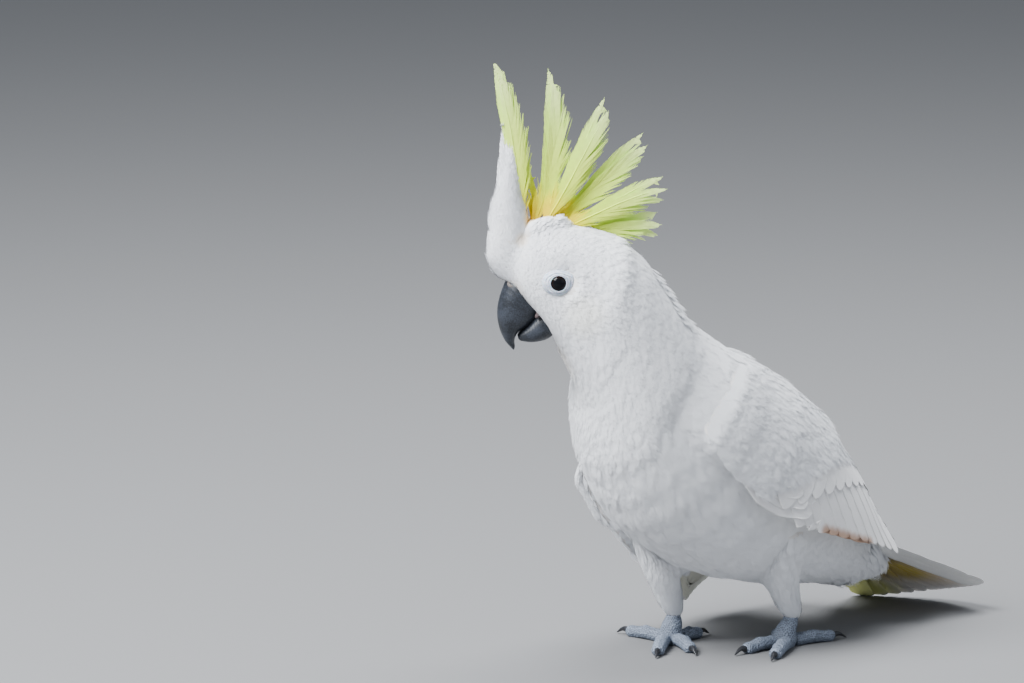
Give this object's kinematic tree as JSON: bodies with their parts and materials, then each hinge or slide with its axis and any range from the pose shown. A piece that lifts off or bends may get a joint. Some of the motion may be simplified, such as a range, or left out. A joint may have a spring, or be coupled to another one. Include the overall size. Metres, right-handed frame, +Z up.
{
  "type": "standing white cockatoo figure",
  "caption": "Life-size white cockatoo standing with its yellow crest raised, its head turned to its right and its right wing hanging a little; a still figure on its own feet.",
  "frame": {"origin": "middle of the bounding box in plan, on the floor under the feet", "axes": "+Z up; the trunk heads along -Y, so the bird's left side is +X and its tail points to +Y"},
  "size_m": [0.1532, 0.4096, 0.4277],
  "materials": {
    "white_plumage": "matte white contour feathers",
    "flight_plumage": "matte white flight and tail feathers, pale yellow underneath",
    "yellow_plumage": "matte pale yellow crest feathers, deeper yellow at the root",
    "bill_horn": "dark grey horn, satin with a powdery bloom",
    "claw_horn": "near-black polished horn",
    "foot_skin": "grey scaly skin, matte",
    "lid_skin": "bare pale blue wrinkled skin",
    "eye_dark": "wet, near-black eye"
  },
  "bodies": {
    "root": {"bill_lower": "bill_horn", "bill_upper": "bill_horn", "claw_hallux_left": "claw_horn", "claw_hallux_right": "claw_horn", "claw_inner_left": "claw_horn", "claw_inner_right": "claw_horn", "claw_outer_left": "claw_horn", "claw_outer_right": "claw_horn", "claw_rear_left": "claw_horn", "claw_rear_right": "claw_horn", "crest_feather_1": "yellow_plumage", "crest_feather_2": "yellow_plumage", "crest_feather_3": "yellow_plumage", "crest_feather_4": "yellow_plumage", "crest_feather_5": "yellow_plumage", "crest_feather_6": "yellow_plumage", "crest_front": "white_plumage", "eye_left": "eye_dark", "eye_right": "eye_dark", "eyelids_left": "lid_skin", "eyelids_right": "lid_skin", "flight_feathers_left": "flight_plumage", "flight_feathers_right": "flight_plumage", "foot_left": "foot_skin", "foot_right": "foot_skin", "head": "white_plumage", "leg_left": "white_plumage", "leg_right": "white_plumage", "neck": "white_plumage", "tail": "flight_plumage", "toe_hallux_left": "foot_skin", "toe_hallux_right": "foot_skin", "toe_inner_left": "foot_skin", "toe_inner_right": "foot_skin", "toe_outer_left": "foot_skin", "toe_outer_right": "foot_skin", "toe_rear_left": "foot_skin", "toe_rear_right": "foot_skin", "trunk": "white_plumage", "wing_left": "white_plumage", "wing_right": "white_plumage"}
  },
  "joints": []
}
